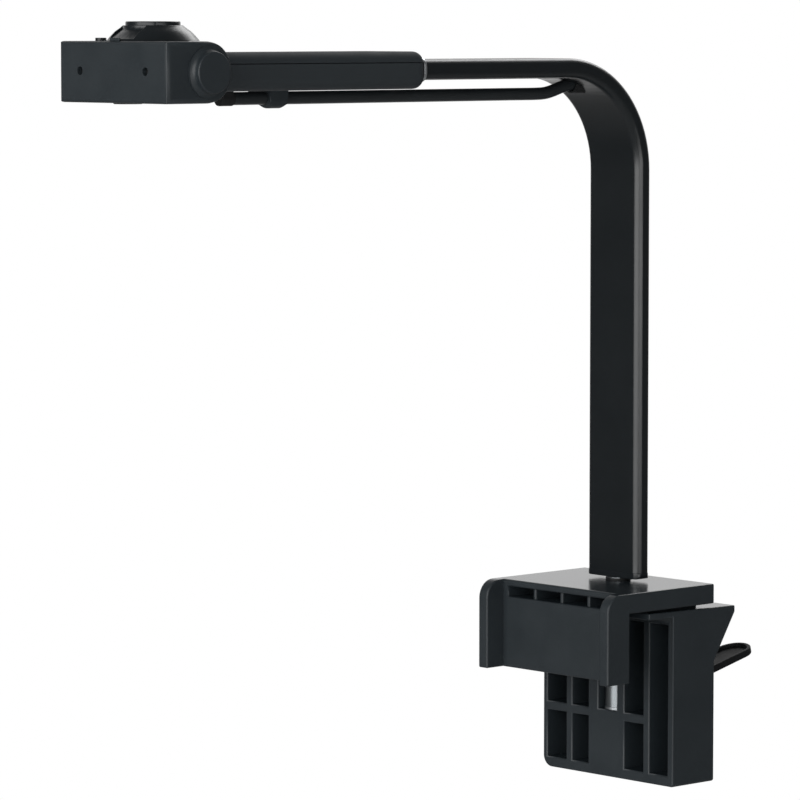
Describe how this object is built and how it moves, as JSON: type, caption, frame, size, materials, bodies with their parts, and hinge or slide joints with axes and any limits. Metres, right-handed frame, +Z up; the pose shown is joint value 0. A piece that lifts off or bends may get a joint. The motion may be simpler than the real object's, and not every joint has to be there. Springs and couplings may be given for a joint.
{
  "type": "clamp-on document camera",
  "caption": "Overhead document camera on a flat-oval bent arm that swivels in a quick-release panel clamp; the head tilts and has a dial and push keys.",
  "frame": {"origin": "middle of the panel seat, the underside of the clamp's top flange", "axes": "+X to the right when facing the ribbed face from the front, +Y to the rear away from the head, +Z up"},
  "size_m": [0.0754, 0.3459, 0.3128],
  "materials": {
    "moulded_black": "satin moulded",
    "arm_paint": "satin powder coat",
    "steel": "machined",
    "black_screw": "black oxide",
    "bushing": "machined",
    "zinc": "zinc plated",
    "rubber_black": "matte",
    "lead_jacket": "satin jacket",
    "collar_silver": "satin",
    "board_green": "solder mask",
    "lens_black": "black anodised look",
    "lens_coated": "coated glass",
    "key_plastic": "semi gloss"
  },
  "bodies": {
    "clamp_body": {"rear_body": "moulded_black", "upper_bushing": "bushing", "lower_bushing": "zinc", "draw_yoke": "zinc", "lever_pins": "steel"},
    "clamp_hook": {"hook": "moulded_black", "lip_pad": "rubber_black"},
    "lever": {"cam_lever": "key_plastic"},
    "arm": {"spindle": "steel", "spindle_nut": "zinc", "thrust_washer": "lens_black", "foot_plug": "moulded_black", "foot_screws": "black_screw", "arm_bar": "arm_paint", "bend_grommet": "rubber_black", "outlet_grommet": "rubber_black", "lead": "lead_jacket", "lead_gland": "rubber_black", "lead_clip": "moulded_black", "clip_screw": "black_screw", "sleeve_lower": "moulded_black", "sleeve_upper": "moulded_black", "sleeve_screws": "black_screw", "sleeve_collar": "collar_silver"},
    "head": {"head_shell": "moulded_black", "head_cover": "moulded_black", "head_screws": "black_screw", "hinge_axle": "steel", "hinge_caps": "moulded_black", "friction_washers": "zinc", "lens_bezel": "lens_black", "lens_barrel": "lens_black", "lens_glass": "lens_coated", "sensor_board": "board_green", "main_board": "board_green", "microphones": "zinc", "power_switch": "lens_black", "dial_seat": "lens_black", "dial_switch": "lens_black"},
    "dial": {"dial_ring": "key_plastic"},
    "dial_key": {"dial_button": "key_plastic"},
    "power_key": {"power_button": "key_plastic"}
  },
  "joints": [
    {"name": "hook_slide", "type": "slide", "parent": "clamp_body", "child": "clamp_hook", "axis": [0, -1, 0], "range_m": [0, 0.01]},
    {"name": "lever_swing", "type": "hinge", "parent": "clamp_body", "child": "lever", "pos_m": [0, 0.0132, -0.051], "axis": [1, 0, 0], "range_deg": [-45, 0]},
    {"name": "arm_swivel", "type": "hinge", "parent": "clamp_body", "child": "arm", "pos_m": [0, 0.0132, 0.0139], "axis": [0, 0, 1], "range_deg": [-90, 90]},
    {"name": "head_tilt", "type": "hinge", "parent": "arm", "child": "head", "pos_m": [0, -0.2353, 0.2238], "axis": [1, 0, 0], "range_deg": [0, 60]},
    {"name": "dial_turn", "type": "hinge", "parent": "head", "child": "dial", "pos_m": [0, -0.2353, 0.2354], "axis": [0, 0, 1], "range_deg": [-150, 150]},
    {"name": "dial_press", "type": "slide", "parent": "head", "child": "dial_key", "axis": [0, 0, -1], "range_m": [0, 0.0008], "stiffness_N_per_m": 900, "springref_m": -0.0005},
    {"name": "power_press", "type": "slide", "parent": "head", "child": "power_key", "axis": [0, 0, -1], "range_m": [0, 0.0005], "stiffness_N_per_m": 900, "springref_m": -0.0005}
  ]
}
